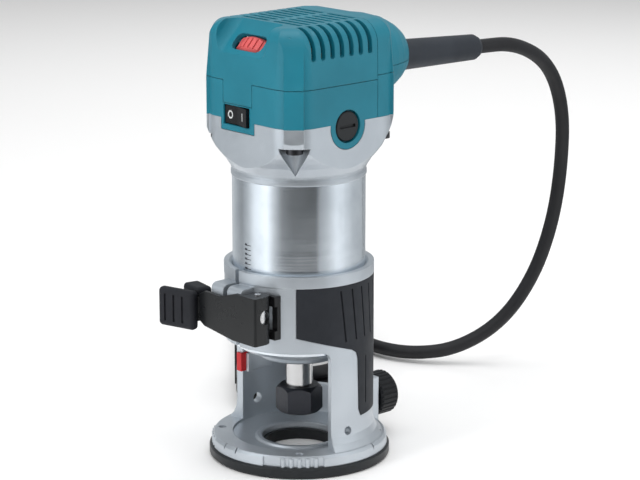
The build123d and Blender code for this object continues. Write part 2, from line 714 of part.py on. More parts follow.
def collet_nut():
    body = Pos(0, 0, NUT_Z0) * extrude(Rot(0, 0, -12) * RegularPolygon(NUT_FLATS / 2, 6, False),
                                      NUT_Z1 - NUT_Z0)
    body &= turned([(0, NUT_Z0), (9.6, NUT_Z0), (11.6, NUT_Z0 + 1.3), (11.6, NUT_Z1 - 2.0),
                    (9.4, NUT_Z1), (0, NUT_Z1)])
    cavity = turned([(0, 15), (4.9, 15), (4.9, 19.6), (6.85, 21.6), (6.85, 36), (0, 36)])
    return body - cavity


def rocker():
    """Rocker with its pivot stubs, tipped to the side that is switched off."""
    half = SWITCH_W / 2 - 0.5
    points = [(-half, -3.3), (0, -2.2), (half, -3.3), (half, -1.0), (3, 1.8), (-3, 1.8), (-half, -1.0)]
    height = SWITCH_H - 0.8
    body = Pos(0, 0, -height / 2) * extrude(make_face(Polyline(*points, close=True)), height)
    body += disc(1.0, -4.7, 4.7)
    return Pos(SWITCH_X, SWITCH_PIVOT_Y, SWITCH_Z) * Rot(0, 0, -7) * body


def speed_dial():
    wheel = Cylinder(DIAL_R, DIAL_W)
    wheel = chamfer(wheel.edges().filter_by(GeomType.CIRCLE), 1.8)
    for i in range(DIAL_GROOVES):
        groove = Box(1.4, 0.9, DIAL_W + 1)
        wheel -= Rot(0, 0, 360 / DIAL_GROOVES * i) * Pos(DIAL_R, 0, 0) * groove
    wheel = Pos(0, 0, DIAL_CREST - DIAL_R) * Rot(-90, 0, 0) * wheel
    return dial_slope(wheel)


# ---------------------------------------------------------------- cord
def cord_tube():
    points = [Vector(*p) for p in CORD_ROUTE]
    radii = []
    for a, b, c in zip(points, points[1:], points[2:]):
        before, after = b - a, c - b
        turn = radians(before.get_angle(after))
        radii.append(0.45 * min(before.length, after.length) / tan(turn / 2))
    print("cord radii", [round(r, 1) for r in radii])
    path = FilletPolyline(*points, radius=radii)
    start = Plane(origin=path @ 0, z_dir=path % 0)
    tube = sweep(start * Circle(CORD_R), path=path)
    print("cord tube length", round(path.length, 1), "volume ratio",
          round(tube.volume / (path.length * pi * CORD_R ** 2), 4))
    return tube


def hank_frame(shape):
    return Rot(0, 0, VIEW_AZ) * shape


def cord_hank():
    half = HANK_FOLD + CORD_R
    height = 2 * CORD_R * HANK_LAYERS
    outline = SlotOverall(HANK_RUN + 2 * half, 2 * half)
    body = extrude(outline, height)
    middle = HANK_START + half + HANK_RUN / 2
    return hank_frame(Pos(middle, 0, HANK_Z0) * body)


def cord_tie():
    half = HANK_FOLD + CORD_R
    height = 2 * CORD_R * HANK_LAYERS
    middle = HANK_START + half + HANK_RUN / 2
    x0, x1 = middle - 42, middle - 34
    outer = block(x0, x1, -half - 1.2, half + 1.2, 0, HANK_Z0 + height + 1.2)
    inner = block(x0 - 1, x1 + 1, -half, half, HANK_Z0, HANK_Z0 + height)
    return hank_frame(outer - inner)


PLUG_Z = HANK_Z0 + 2 * CORD_R * HANK_LAYERS


def plug_body():
    body = block(-20, 20, -17, 17, 0, 19)
    body = fillet(body.edges().filter_by(Axis.Z), 7.0)
    body = chamfer(body.faces().sort_by(Axis.Z)[-1].edges(), 2.0)
    neck = Pos(-20, 0, 9.5) * Rot(0, -90, 0) * Cone(7.5, 5.0, 18, align=UP)
    middle = HANK_START + HANK_FOLD + CORD_R + HANK_RUN / 2
    return hank_frame(Pos(middle + 22, 0, PLUG_Z) * (body + neck))


def plug_pins():
    middle = HANK_START + HANK_FOLD + CORD_R + HANK_RUN / 2
    pins = []
    for y in (-9.5, 9.5):
        pin = fillet(rod_x(2.4, 20, 39, y, 9.5).edges().group_by(Axis.X)[-1], 2.0)
        pins.append(hank_frame(Pos(middle + 22, 0, PLUG_Z) * pin))
    return Compound(children=pins)


# ---------------------------------------------------------------- the whole object
def base_parts():
    return {
        "sub_base": sub_base(),
        "sub_base_screws": sub_base_screws(),
        "base_casting": base_casting(),
        "grip_right": grip(1),
        "grip_left": grip(-1),
        "depth_pointer": pointer_block(),
        "thrust_plate": thrust_plate(),
        "lever_stop": lever_stop(),
        "lever_pin": lever_pin(),
        "eye_bolt": eye_bolt(),
        "clamp_nut": clamp_nut(),
        "lock_lever": lock_lever(),
        "lever_grip": lever_grip(),
        "thumb_washer": thumb_washer(),
        "thumb_screw": thumb_screw(),
    }


def cord_parts():
    return {
        "cord_tube": cord_tube(),
        "cord_hank": cord_hank(),
        "cord_tie": cord_tie(),
        "plug_body": plug_body(),
        "plug_pins": plug_pins(),
    }


def housing_parts():
    upper, lower = rear_covers()
    return {
        "motor_tube": motor_tube(),
        "nose_cap": nose_cap(),
        "lower_bearing": bearing(14.0, SPINDLE_R + RUN_GAP, 48.4, 58.0),
        "upper_bearing": bearing(9.5, SHAFT_R + RUN_GAP, 174.2, 181.6),
        "motor_casting": motor_casting(),
        "casting_screws": casting_screws(),
        "head_housing": head_housing(),
        "top_cover": top_cover(),
        "rear_cover_upper": upper,
        "rear_cover_lower": lower,
        "cord_guard": cord_guard(),
        "stator_core": stator_core(),
        "field_coils": field_coils(),
        "switch_body": switch_body(),
        "speed_controller": speed_controller(),
        "dial_holder": dial_holder(),
    }


def brush_parts():
    sets = {}
    for side, name in ((1, "right"), (-1, "left")):
        sets["brush_cap_" + name] = brush_cap(side)
        sets["brush_holder_" + name] = brush_holder(side)
        sets["carbon_brush_" + name] = carbon_brush(side)
        sets["brush_spring_" + name] = brush_spring(side)
    return sets


def moving_motor_parts():
    return {
        "spindle": spindle(),
        "armature_core": armature_core(),
        "armature_windings": armature_windings(),
        "commutator": commutator(),
        "fan": fan(),
        "collet": collet(),
        "collet_nut": collet_nut(),
        "rocker": rocker(),
        "speed_dial": speed_dial(),
    }


motor_parts = {**housing_parts(), **brush_parts(), **moving_motor_parts()}
raised = {name: Pos(0, 0, MOTOR_SET) * shape for name, shape in motor_parts.items()}
parts = {**base_parts(), **cord_parts(), **raised}

os.makedirs("parts", exist_ok=True)
for name, shape in parts.items():
    export_step(shape, "parts/" + name + ".step")
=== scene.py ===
import json
import math

import bpy
from mathutils import Matrix, Vector


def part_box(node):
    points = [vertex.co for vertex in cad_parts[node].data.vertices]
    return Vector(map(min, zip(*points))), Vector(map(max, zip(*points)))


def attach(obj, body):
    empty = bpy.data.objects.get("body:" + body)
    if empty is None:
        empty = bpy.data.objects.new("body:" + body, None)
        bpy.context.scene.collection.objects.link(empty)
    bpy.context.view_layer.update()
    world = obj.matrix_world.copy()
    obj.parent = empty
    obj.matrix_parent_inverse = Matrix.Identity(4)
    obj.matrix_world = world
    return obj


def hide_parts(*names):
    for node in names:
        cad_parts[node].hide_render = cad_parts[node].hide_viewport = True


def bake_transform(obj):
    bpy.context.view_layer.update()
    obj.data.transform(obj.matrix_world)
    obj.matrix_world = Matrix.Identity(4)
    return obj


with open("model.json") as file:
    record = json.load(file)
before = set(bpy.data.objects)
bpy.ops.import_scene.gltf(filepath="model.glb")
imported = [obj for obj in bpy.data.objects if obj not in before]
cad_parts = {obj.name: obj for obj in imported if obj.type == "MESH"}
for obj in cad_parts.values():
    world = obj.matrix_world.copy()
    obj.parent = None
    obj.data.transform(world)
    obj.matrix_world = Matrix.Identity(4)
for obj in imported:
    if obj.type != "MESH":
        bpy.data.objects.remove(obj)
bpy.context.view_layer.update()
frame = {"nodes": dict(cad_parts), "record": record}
nodes = frame["nodes"]

# ------------------------------------------------------------------ places read from the frame
TUBE_LOW, TUBE_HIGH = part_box("motor_tube")
TUBE_R = (TUBE_HIGH.x - TUBE_LOW.x) / 2
ROCKER_LOW, ROCKER_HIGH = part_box("rocker")

# Camera directions on the floor: to the right in the view, and towards the camera.
VIEW_TURN = math.radians(48.0)
RIGHT = Vector((math.cos(VIEW_TURN), math.sin(VIEW_TURN), 0.0))
NEAR = Vector((math.sin(VIEW_TURN), -math.cos(VIEW_TURN), 0.0))
UP = Vector((0.0, 0.0, 1.0))

# ------------------------------------------------------------------ camera, floor and lights
CAMERA_REACH = 1.150        # horizontal distance from the spindle
CAMERA_HEIGHT = 0.3975
AIM_HEIGHT = 0.108
AIM_RIGHT = 0.0103
LENS = 136.5
FLOOR_REACH = 12.0          # half the floor's side
WORLD_GLOW = 0.31


def point_at(obj, target):
    direction = Vector(target) - obj.location
    obj.rotation_euler = direction.to_track_quat("-Z", "Y").to_euler()


def make_camera():
    data = bpy.data.cameras.new("camera")
    data.lens = LENS
    data.sensor_width = 36.0
    data.clip_start = 0.05
    data.clip_end = 60.0
    camera = bpy.data.objects.new("camera", data)
    camera.location = NEAR * CAMERA_REACH + UP * CAMERA_HEIGHT
    bpy.context.scene.collection.objects.link(camera)
    point_at(camera, RIGHT * AIM_RIGHT + UP * AIM_HEIGHT)
    bpy.context.scene.camera = camera


def area_light(name, place, target, size, power):
    data = bpy.data.lights.new(name, "AREA")
    data.shape = "RECTANGLE"
    data.size, data.size_y = size
    data.energy = power
    light = bpy.data.objects.new(name, data)
    light.location = place
    bpy.context.scene.collection.objects.link(light)
    point_at(light, target)


def make_lights():
    middle = Vector((0.0, 0.0, 0.12))
    area_light("top_box", Vector((0.0, 0.1, 1.5)), middle, (1.6, 1.6), 17.5)
    area_light("left_box", -0.95 * RIGHT + 0.75 * NEAR + 0.55 * UP, middle, (0.28, 1.0), 6.0)
    area_light("right_box", 1.15 * RIGHT + 0.42 * NEAR + 0.45 * UP, middle, (0.5, 1.0), 3.0)
    area_light("front_fill", 0.1 * RIGHT + 1.5 * NEAR + 1.0 * UP, middle, (0.9, 0.6), 5.0)
    area_light("back_box", 0.3 * RIGHT - 1.2 * NEAR + 0.9 * UP, middle, (1.2, 0.7), 4.0)


def make_world():
    world = bpy.data.worlds.new("studio")
    world.use_nodes = True
    background = world.node_tree.nodes["Background"]
    background.inputs["Color"].default_value = (1.0, 1.0, 1.0, 1.0)
    background.inputs["Strength"].default_value = WORLD_GLOW
    bpy.context.scene.world = world
    bpy.context.scene.view_settings.view_transform = "Standard"


# What polished faces mirror: brightness of a round studio wall, by the angle from the
# camera's side, positive to the view's right.
WALL_BANDS = [
    (-180, 0.45),
    (-150, 0.66),
    (-128, 0.50),
    (-110, 0.34),
    (-92, 0.60),
    (-78, 1.10),
    (-54, 1.30),
    (-43, 0.66),
    (-28, 0.22),
    (-10, 0.10),
    (29, 0.08),
    (33, 0.40),
    (46, 0.56),
    (64, 0.96),
    (84, 0.84),
    (101, 0.62),
    (127, 0.56),
    (160, 0.40),
    (180, 0.45),
]
WALL_R = 0.30
WALL_FOOT = 0.001
WALL_H = 1.0
WALL_SIDES = 96
WALL_GLOW = (0.9, 1.25)     # brightness at the wall's foot and at its top


def wall_mesh():
    """Open upright cylinder round the object, just clear of the floor."""
    vertices, faces = [], []
    for i in range(WALL_SIDES):
        angle = 2 * math.pi * i / WALL_SIDES
        x, y = WALL_R * math.cos(angle), WALL_R * math.sin(angle)
        vertices += [(x, y, WALL_FOOT), (x, y, WALL_H)]
        a, b = 2 * i, 2 * ((i + 1) % WALL_SIDES)
        faces.append((a, b, b + 1, a + 1))
    mesh = bpy.data.meshes.new("studio_wall")
    mesh.from_pydata(vertices, [], faces)
    return mesh


def make_studio_wall():
    """A wall that only reflections see, so that polished faces show the studio's bands."""
    mesh = wall_mesh()
    wall = bpy.data.objects.new("studio_wall", mesh)
    wall.rotation_euler = (0.0, 0.0, VIEW_TURN - math.radians(90.0))
    bpy.context.scene.collection.objects.link(wall)
    wall.visible_camera = False
    wall.visible_diffuse = False
    wall.visible_shadow = False
    wall.visible_transmission = False
    s = Surface("studio_wall")
    split = s.add("ShaderNodeSeparateXYZ")
    s.link(s.place, split.inputs[0])
    turn = s.math("ARCTAN2", split.outputs["Y"], split.outputs["X"])
    ramp = s.add("ShaderNodeValToRGB")
    s.link(s.spread(turn, -math.pi, math.pi), ramp.inputs["Fac"])
    stops = ramp.color_ramp.elements
    for angle, value in WALL_BANDS:
        if abs(angle) == 180:
            stop = stops[0 if angle < 0 else -1]
        else:
            stop = stops.new((angle + 180) / 360)
        stop.color = (0.96 * value, value, 1.03 * value, 1.0)
    rise = s.spread(split.outputs["Z"], 0.0, WALL_H, *WALL_GLOW)
    emission = s.add("ShaderNodeEmission")
    s.link(ramp.outputs["Color"], emission.inputs["Color"])
    s.link(rise, emission.inputs["Strength"])
    output = s.tree.nodes["Material Output"]
    s.link(emission.outputs["Emission"], output.inputs["Surface"])
    mesh.materials.append(s.material)


# ------------------------------------------------------------------ node helpers
class Surface:
    """A principled material and short ways to add nodes to it."""

    def __init__(self, name):
        self.material = bpy.data.materials.new(name)
        self.material.use_nodes = True
        self.tree = self.material.node_tree
        self.shader = self.tree.nodes["Principled BSDF"]
        coordinates = self.add("ShaderNodeTexCoord")
        self.place = coordinates.outputs["Object"]

    def add(self, kind, **settings):
        node = self.tree.nodes.new(kind)
        for key, value in settings.items():
            setattr(node, key, value)
        return node

    def link(self, output, socket):
        self.tree.links.new(output, socket)

    def set(self, **values):
        for key, value in values.items():
            self.shader.inputs[key.replace("_", " ")].default_value = value

    def noise(self, scale, detail=4.0, rough=0.55, place=None):
        node = self.add("ShaderNodeTexNoise")
        node.inputs["Scale"].default_value = scale
        node.inputs["Detail"].default_value = detail
        node.inputs["Roughness"].default_value = rough
        self.link(place or self.place, node.inputs["Vector"])
        return node.outputs["Fac"]

    def stretched(self, scale):
        node = self.add("ShaderNodeMapping")
        node.inputs["Scale"].default_value = scale
        self.link(self.place, node.inputs["Vector"])
        return node.outputs["Vector"]

    def spread(self, value, low, high, out_low=0.0, out_high=1.0):
        node = self.add("ShaderNodeMapRange")
        node.inputs["From Min"].default_value = low
        node.inputs["From Max"].default_value = high
        node.inputs["To Min"].default_value = out_low
        node.inputs["To Max"].default_value = out_high
        self.link(value, node.inputs["Value"])
        return node.outputs["Result"]

    def mix(self, amount, first, second):
        node = self.add("ShaderNodeMix", data_type="RGBA")
        self.link(amount, node.inputs[0])
        for source, socket in ((first, node.inputs[6]), (second, node.inputs[7])):
            if isinstance(source, tuple):
                socket.default_value = (*source, 1.0)
            else:
                self.link(source, socket)
        return node.outputs[2]

    def math(self, operation, first, second):
        node = self.add("ShaderNodeMath", operation=operation)
        for source, socket in ((first, node.inputs[0]), (second, node.inputs[1])):
            if isinstance(source, (int, float)):
                socket.default_value = source
            else:
                self.link(source, socket)
        return node.outputs[0]

    def edges(self, radius, low=0.02, high=0.25):
        """1 on convex and concave edges, 0 on open faces."""
        bevel = self.add("ShaderNodeBevel", samples=4)
        bevel.inputs["Radius"].default_value = radius
        geometry = self.add("ShaderNodeNewGeometry")
        dot = self.add("ShaderNodeVectorMath", operation="DOT_PRODUCT")
        self.link(bevel.outputs["Normal"], dot.inputs[0])
        self.link(geometry.outputs["Normal"], dot.inputs[1])
        return self.spread(dot.outputs["Value"], 1.0 - low, 1.0 - high)

    def bump(self, height, strength, distance, rounding=0.0):
        node = self.add("ShaderNodeBump")
        node.inputs["Strength"].default_value = strength
        node.inputs["Distance"].default_value = distance
        self.link(height, node.inputs["Height"])
        if rounding:
            bevel = self.add("ShaderNodeBevel", samples=4)
            bevel.inputs["Radius"].default_value = rounding
            self.link(bevel.outputs["Normal"], node.inputs["Normal"])
        self.link(node.outputs["Normal"], self.shader.inputs["Normal"])

    def colour(self, output):
        self.link(output, self.shader.inputs["Base Color"])

    def roughness(self, output):
        self.link(output, self.shader.inputs["Roughness"])


def moulded(name, colour, rough, grain=2600.0, depth=0.00006, patch=0.10, worn=None, edge=0.0005,
            wear=0.35, **values):
    """Moulded plastic or rubber: fine grain, faint patches, rubbed edges."""
    s = Surface(name)
    dark = tuple(c * (1.0 - patch) for c in colour)
    light = tuple(min(1.0, c * (1.0 + patch) + 0.002) for c in colour)
    base = s.mix(s.spread(s.noise(38.0, 3.0), 0.35, 0.65), dark, light)
    worn = worn or tuple(min(1.0, c * 1.35 + 0.015) for c in colour)
    broken = s.spread(s.noise(420.0, 5.0), 0.42, 0.62)
    rub = s.math("MULTIPLY", s.math("MULTIPLY", s.edges(edge), broken), wear)
    s.colour(s.mix(rub, base, worn))
    s.roughness(s.spread(s.noise(160.0, 5.0), 0.3, 0.7, rough - 0.05, rough + 0.06))
    s.bump(s.noise(grain, 2.0, 0.6), 0.35, depth, edge)
    s.set(Specular_IOR_Level=0.32)
    s.set(**values)
    return s.material


def metal(name, colour, rough, grain=900.0, depth=0.00002, patch=0.06, edge=0.0003, wear=0.4,
          stretch=(1.0, 1.0, 1.0), **values):
    """Machined or plated metal with fine tool lines and brighter edges."""
    s = Surface(name)
    lines = s.noise(grain, 3.0, 0.6, s.stretched(stretch))
    dark = tuple(c * (1.0 - patch) for c in colour)
    light = tuple(min(1.0, c * (1.0 + patch)) for c in colour)
    base = s.mix(s.spread(s.noise(70.0, 4.0), 0.35, 0.65), dark, light)
    rub = s.math("MULTIPLY", s.edges(edge), wear)
    bright = tuple(min(1.0, c * 1.5 + 0.08) for c in colour)
    s.colour(s.mix(rub, base, bright))
    s.roughness(s.spread(lines, 0.3, 0.7, rough - 0.05, rough + 0.07))
    s.bump(lines, 0.3, depth, edge)
    s.set(Metallic=1.0)
    s.set(**values)
    return s.material


# ------------------------------------------------------------------ materials
def tube_alloy():
    """Turned and polished aluminium: fine lines around the tube."""
    s = Surface("tube_alloy")
    rings = s.noise(9.0, 6.0, 0.7, s.stretched((1.0, 1.0, 160.0)))
    soft = s.noise(55.0, 4.0)
    base = s.mix(s.spread(soft, 0.35, 0.65), (0.70, 0.75, 0.80), (0.80, 0.85, 0.90))
    s.colour(base)
    smudge = s.spread(s.noise(24.0, 5.0, 0.6), 0.4, 0.75, 0.0, 0.06)
    s.roughness(s.math("ADD", s.spread(rings, 0.3, 0.7, 0.15, 0.23), smudge))
    s.bump(rings, 0.25, 0.00002, 0.0004)
    tangent = s.add("ShaderNodeTangent", direction_type="RADIAL", axis="Z")
    s.link(tangent.outputs["Tangent"], s.shader.inputs["Tangent"])
    s.set(Metallic=1.0, Anisotropic=0.6, Anisotropic_Rotation=0.25)
    return s.material


def cast_alloy():
    """Silver paint on a die casting: fine orange peel, metal flakes, rubbed edges."""
    s = Surface("cast_alloy")
    patches = s.spread(s.noise(30.0, 4.0), 0.35, 0.65)
    base = s.mix(patches, (0.46, 0.50, 0.54), (0.52, 0.56, 0.60))
    flakes = s.add("ShaderNodeTexVoronoi")
    flakes.inputs["Scale"].default_value = 3800.0
    s.link(s.place, flakes.inputs["Vector"])
    sparkle = s.spread(flakes.outputs["Distance"], 0.05, 0.5, 0.16, 0.0)
    base = s.mix(sparkle, base, (0.74, 0.77, 0.81))
    chips = s.spread(s.noise(520.0, 5.0), 0.45, 0.62)
    rub = s.math("MULTIPLY", s.math("MULTIPLY", s.edges(0.0005), chips), 0.5)
    s.colour(s.mix(rub, base, (0.82, 0.83, 0.84)))
    s.roughness(s.spread(s.noise(240.0, 4.0), 0.3, 0.7, 0.30, 0.42))
    s.bump(s.noise(1500.0, 3.0), 0.25, 0.00005, 0.0007)
    s.set(Metallic=0.72)
    return s.material


def striped(name, first, second, scale, rough, metallic, stretch):
    """Layers or wires: fine even lines across one direction."""
    s = Surface(name)
    wave = s.add("ShaderNodeTexWave", bands_direction="Z")
    wave.inputs["Scale"].default_value = scale
    wave.inputs["Distortion"].default_value = 0.6
    s.link(s.stretched(stretch), wave.inputs["Vector"])
    s.colour(s.mix(wave.outputs["Fac"], first, second))
    s.roughness(s.spread(s.noise(300.0), 0.3, 0.7, rough - 0.05, rough + 0.08))
    s.bump(wave.outputs["Fac"], 0.6, 0.0001, 0.0003)
    s.set(Metallic=metallic)
    return s.material


def control_board():
    """Green board with copper tracks and darker parts."""
    s = Surface("control_board")
    tracks = s.add("ShaderNodeTexVoronoi", feature="DISTANCE_TO_EDGE")
    tracks.inputs["Scale"].default_value = 260.0
    s.link(s.place, tracks.inputs["Vector"])
    line = s.spread(tracks.outputs["Distance"], 0.03, 0.06)
    base = s.mix(line, (0.45, 0.3, 0.1), (0.02, 0.12, 0.05))
    s.colour(base)
    s.roughness(s.spread(s.noise(400.0), 0.3, 0.7, 0.35, 0.5))
    s.bump(line, 0.4, 0.00005, 0.0003)
    return s.material


def make_materials():
    """One material for each of the record's slots."""
    m = {}
    m["teal_plastic"] = moulded("teal_plastic", (0.006, 0.175, 0.245), 0.42, grain=3200.0,
                                depth=0.00005, patch=0.06, edge=0.0006, wear=0.28,
                                worn=(0.06, 0.30, 0.36))
    m["cast_alloy"] = cast_alloy()
    m["tube_alloy"] = tube_alloy()
    m["grip_rubber"] = moulded("grip_rubber", (0.012, 0.0145, 0.020), 0.62, grain=2200.0,
                               depth=0.00010, patch=0.12, edge=0.0006, wear=0.3)
    m["lever_rubber"] = moulded("lever_rubber", (0.005, 0.006, 0.010), 0.62, grain=2400.0,
                                depth=0.00008, edge=0.0008, wear=0.3)
    m["lever_black"] = moulded("lever_black", (0.008, 0.009, 0.010), 0.30, grain=1600.0,
                               depth=0.00004, edge=0.0006, wear=0.5, worn=(0.10, 0.10, 0.10))
    m["black_sub_base"] = moulded("black_sub_base", (0.009, 0.011, 0.013), 0.38, grain=1800.0,
                                  depth=0.00005, edge=0.0006, wear=0.5, worn=(0.09, 0.10, 0.11))
    m["black_plastic"] = moulded("black_plastic", (0.007, 0.007, 0.008), 0.38)
    m["knob_black"] = moulded("knob_black", (0.003, 0.004, 0.006), 0.44, edge=0.0003, wear=0.45,
                              worn=(0.09, 0.09, 0.10))
    m["cap_black"] = moulded("cap_black", (0.012, 0.014, 0.016), 0.40, edge=0.0003, wear=0.4)
    m["rocker_black"] = moulded("rocker_black", (0.005, 0.005, 0.006), 0.24, edge=0.0003)
    m["guard_rubber"] = moulded("guard_rubber", (0.022, 0.027, 0.036), 0.48, grain=1500.0,
                                depth=0.00008, wear=0.3)
    m["cord_rubber"] = moulded("cord_rubber", (0.010, 0.010, 0.012), 0.50, grain=1300.0,
                               depth=0.00010, wear=0.0)
    m["plug_black"] = moulded("plug_black", (0.014, 0.014, 0.015), 0.42, edge=0.0006)
    m["tie_black"] = moulded("tie_black", (0.020, 0.020, 0.022), 0.6, grain=900.0, depth=0.0002)
    m["fan_plastic"] = moulded("fan_plastic", (0.10, 0.10, 0.11), 0.45, edge=0.0004)
    m["carbon"] = moulded("carbon", (0.02, 0.02, 0.02), 0.6, grain=900.0)
    m["red_plastic"] = moulded("red_plastic", (0.62, 0.02, 0.025), 0.35, edge=0.0003)
    m["dial_red"] = moulded("dial_red", (0.62, 0.095, 0.095), 0.45, edge=0.0003, wear=0.4,
                            worn=(0.78, 0.30, 0.28))
    m["black_metal"] = metal("black_metal", (0.045, 0.045, 0.05), 0.35, wear=0.5)
    m["black_oxide"] = metal("black_oxide", (0.050, 0.052, 0.060), 0.36, wear=0.45, depth=0.00004)
    m["black_screw"] = metal("black_screw", (0.07, 0.07, 0.075), 0.34)
    m["zinc_steel"] = metal("zinc_steel", (0.55, 0.56, 0.58), 0.3)
    m["bright_steel"] = metal("bright_steel", (0.66, 0.66, 0.67), 0.24)
    m["spindle_steel"] = metal("spindle_steel", (0.60, 0.60, 0.60), 0.22, stretch=(1, 1, 40))
    m["bearing_steel"] = metal("bearing_steel", (0.62, 0.63, 0.65), 0.18, stretch=(1, 1, 20))
    m["plug_brass"] = metal("plug_brass", (0.72, 0.66, 0.50), 0.25)
    m["holder_brass"] = metal("holder_brass", (0.68, 0.50, 0.22), 0.3)
    m["copper_bar"] = metal("copper_bar", (0.72, 0.40, 0.26), 0.28)
    m["copper_wire"] = striped("copper_wire", (0.35, 0.12, 0.04), (0.75, 0.36, 0.16), 900.0, 0.35,
                               0.8, (1, 1, 1))
    m["lamination_steel"] = striped("lamination_steel", (0.16, 0.16, 0.17), (0.34, 0.34, 0.35),
                                    1000.0, 0.45, 0.9, (1, 1, 1))
    m["control_board"] = control_board()
    m["scale_ink"] = moulded("scale_ink", (0.030, 0.036, 0.045), 0.5, wear=0.0, edge=0.0001)
    m["white_ink"] = moulded("white_ink", (0.62, 0.64, 0.64), 0.5, wear=0.0, edge=0.0001)
    return m


def dress_cad_nodes(materials):
    """Give each CAD node the material of its slot in the record."""
    for sub in frame["record"]["subparts"]:
        slots = nodes[sub["node"]].data.materials
        slots.clear()
        slots.append(materials[sub["material_slot"]])


def make_floor():
    """Plain pale paper, far larger than the view."""
    mesh = bpy.data.meshes.new("floor")
    signs = ((-1, -1), (1, -1), (1, 1), (-1, 1))
    corners = [(FLOOR_REACH * x, FLOOR_REACH * y, 0.0) for x, y in signs]
    mesh.from_pydata(corners, [], [(0, 1, 2, 3)])
    floor = bpy.data.objects.new("floor", mesh)
    bpy.context.scene.collection.objects.link(floor)
    s = Surface("floor_paper")
    s.colour(s.mix(s.noise(3.0), (0.955, 0.955, 0.955), (0.97, 0.97, 0.97)))
    s.roughness(s.spread(s.noise(80.0), 0.3, 0.7, 0.75, 0.85))
    mesh.materials.append(s.material)


# ------------------------------------------------------------------ small marks
MM = 0.001
SCALE_PITCH = 2.33          # mm between the marks of the depth scale
SCALE_TOP = 111.0           # mm above the floor
SCALE_MARKS = 17
SCALE_START = -94.9         # azimuth of the marks' left end, degrees
SCALE_THICK = -91.9         # azimuth where the thick end gives way to the thin one
SCALE_END = -87.3
SCALE_BROAD = (-0.5, 0.5)   # edges of a mark's thick end, mm from its middle
SCALE_FINE = (-0.38, -0.04)  # edges of its thin end
MARK_RISE = 0.03            # mm that a mark stands out of its surface
PATCH_STEPS = 5             # places along a curved mark


def curved_patch(vertices, faces, azimuths, heights, radius):
    """Add a thin closed plate that lies on the tube."""
    first = len(vertices)
    for i in range(PATCH_STEPS):
        share = i / (PATCH_STEPS - 1)
        angle = math.radians(azimuths[0] + (azimuths[1] - azimuths[0]) * share)
        for r in (radius - MARK_RISE, radius + MARK_RISE):
            for z in heights:
                vertices.append((r * MM * math.cos(angle), r * MM * math.sin(angle), z * MM))
    for i in range(PATCH_STEPS - 1):
        a = first + 4 * i
        b = a + 4
        faces += [(a, a + 1, b + 1, b), (a + 2, b + 2, b + 3, a + 3)]
        faces += [(a, b, b + 2, a + 2), (a + 1, a + 3, b + 3, b + 1)]
    last = first + 4 * (PATCH_STEPS - 1)
    faces += [(first, first + 2, first + 3, first + 1), (last, last + 1, last + 3, last + 2)]


def new_object(name, vertices, faces, material):
    mesh = bpy.data.meshes.new(name)
    mesh.from_pydata([tuple(v) for v in vertices], [], faces)
    mesh.materials.append(material)
    obj = bpy.data.objects.new(name, mesh)
    bpy.context.scene.collection.objects.link(obj)
    return obj


def make_depth_scale(material):
    """Printed marks up the motor tube: a thick end and a thin end each."""
    vertices, faces = [], []
    radius = TUBE_R / MM
    for i in range(SCALE_MARKS):
        z = SCALE_TOP - SCALE_PITCH * i
        broad = [z + edge for edge in SCALE_BROAD]
        fine = [z + edge for edge in SCALE_FINE]
        curved_patch(vertices, faces, (SCALE_START, SCALE_THICK), broad, radius)
        curved_patch(vertices, faces, (SCALE_THICK, SCALE_END), fine, radius)
    scale = new_object("depth_scale", vertices, faces, material)
    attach(scale, "motor")


ROCKER_TURN = math.radians(-7.0)    # the rocker lies tipped to its off side
FACE_SLOPE = math.atan(1.1 / 8.9)   # each half of its face slopes to the middle
ROCKER_PIVOT = (-5.5, -31.8)        # across and along, mm
ROCKER_FACE = -2.2                  # middle of the face, mm from the pivot
RING_ACROSS = -4.9                  # middle of the ring mark, mm
RING_RADII = (1.15, 1.75)
RING_SIDES = 24
RING_TALL = 1.15                    # the ring is taller than wide by this share
BAR_ACROSS = (4.6, 5.2)
BAR_UP = (-1.9, 1.9)


def rocker_place(across, up, out):
    """A place on the rocker's left (across < 0) or right half, mm, out of the face."""
    slope = FACE_SLOPE if across < 0 else -FACE_SLOPE
    depth = ROCKER_FACE - abs(across) * math.tan(FACE_SLOPE)
    local = Vector((across - out * math.sin(slope), depth - out * math.cos(slope), up))
    pivot = Vector((*ROCKER_PIVOT, (ROCKER_LOW.z + ROCKER_HIGH.z) / 2 / MM))
    return (pivot + Matrix.Rotation(ROCKER_TURN, 3, "Z") @ local) * MM


def make_rocker_marks(material):
    """A printed ring on the off side of the rocker and a bar on its on side."""
    vertices, faces = [], []
    for i in range(RING_SIDES):
        angle = 2 * math.pi * i / RING_SIDES
        for radius in RING_RADII:
            for out in (-MARK_RISE, MARK_RISE):
                across = RING_ACROSS + radius * math.cos(angle)
                up = radius * RING_TALL * math.sin(angle)
                vertices.append(rocker_place(across, up, out))
    for i in range(RING_SIDES):
        a = 4 * i
        b = 4 * ((i + 1) % RING_SIDES)
        faces += [(a, b, b + 1, a + 1), (a + 2, a + 3, b + 3, b + 2)]
        faces += [(a + 1, b + 1, b + 3, a + 3), (a, a + 2, b + 2, b)]
    first = len(vertices)
    for across in BAR_ACROSS:
        for up in BAR_UP:
            for out in (-MARK_RISE, MARK_RISE):
                vertices.append(rocker_place(across, up, out))
    bar = [(0, 1, 3, 2), (4, 6, 7, 5), (0, 4, 5, 1), (2, 3, 7, 6), (1, 5, 7, 3), (0, 2, 6, 4)]
    faces += [tuple(first + k for k in face) for face in bar]
    marks = new_object("rocker_marks", vertices, faces, material)
    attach(marks, "rocker")


# ------------------------------------------------------------------ mains cord
CORD_D = 0.0075
CORD_SIDES = 16
